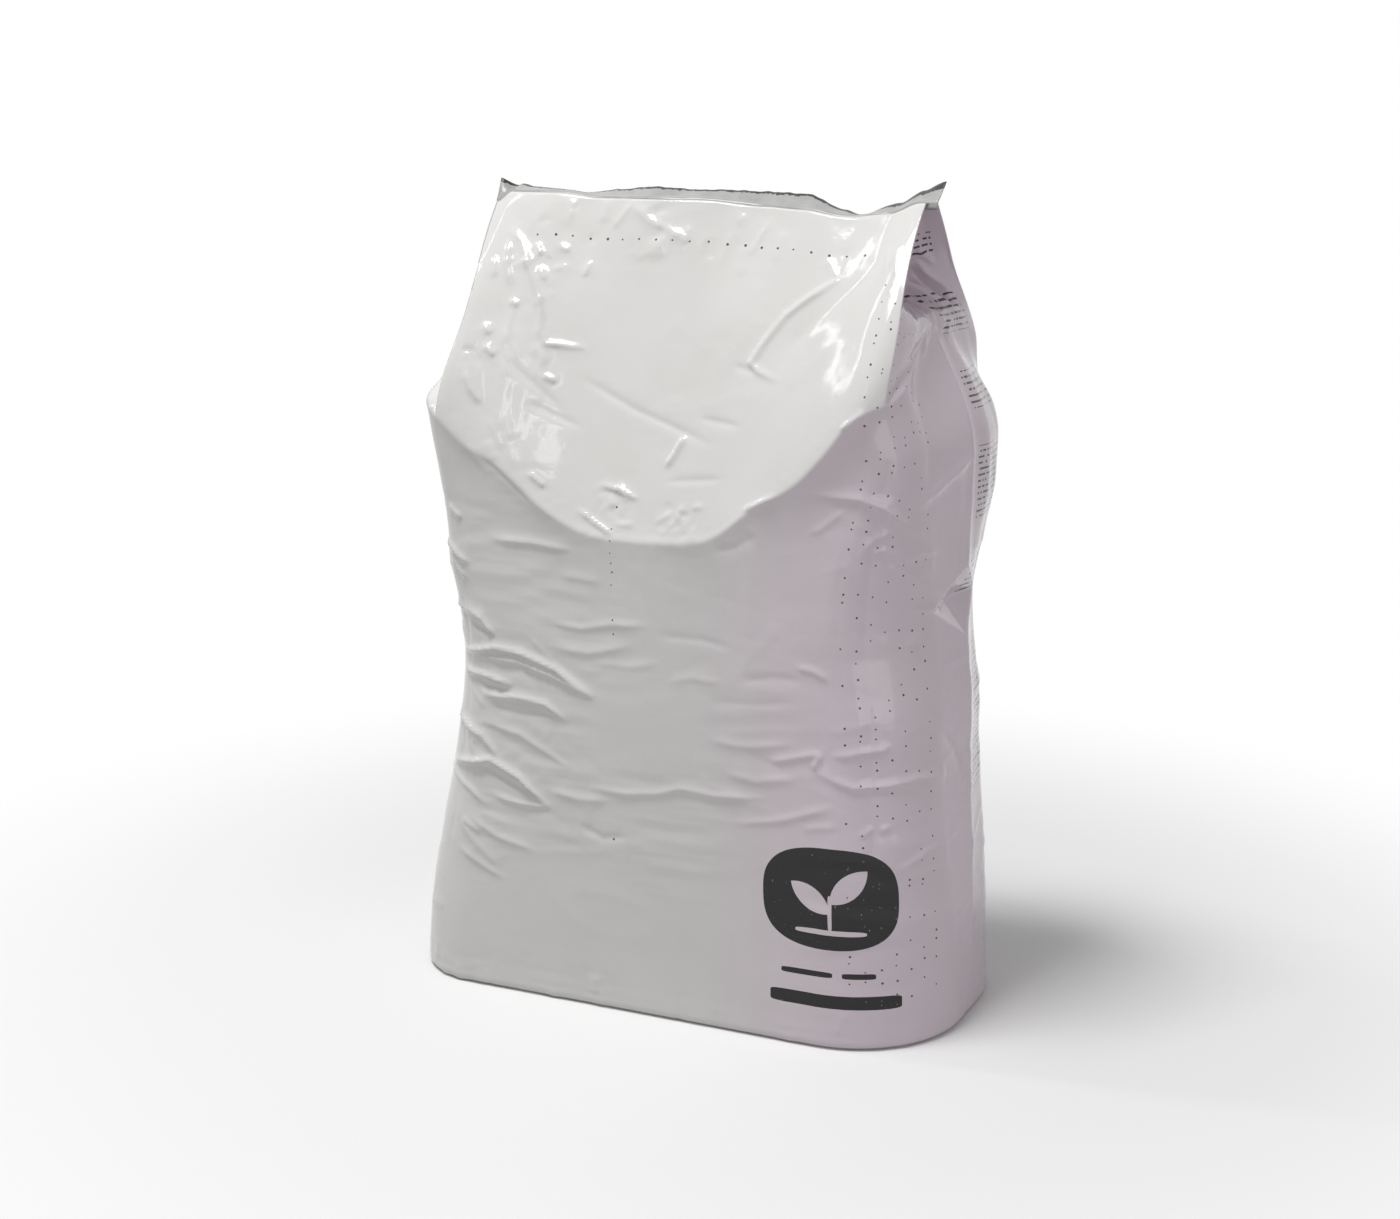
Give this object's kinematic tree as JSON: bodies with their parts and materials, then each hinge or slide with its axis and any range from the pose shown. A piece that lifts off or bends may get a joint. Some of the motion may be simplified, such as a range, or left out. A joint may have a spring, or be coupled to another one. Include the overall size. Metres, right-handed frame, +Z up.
{
  "type": "compost bag",
  "caption": "Filled, upright compost bag: a side-gusseted polyethylene film sack with a flat base, a pinched waist, a slack folded head and a flat weld across the top.",
  "frame": {"origin": "middle of the flat base, on the floor", "axes": "+Z up to the weld, +X along the weld to the right of the front panel, -Y out of the front panel"},
  "size_m": [0.4896, 0.2566, 0.7],
  "materials": {
    "sack_film": "white polyethylene film, glossy and creased, with a faint lilac cast towards one side"
  },
  "bodies": {
    "root": {"compost_sack": "sack_film"}
  },
  "joints": []
}
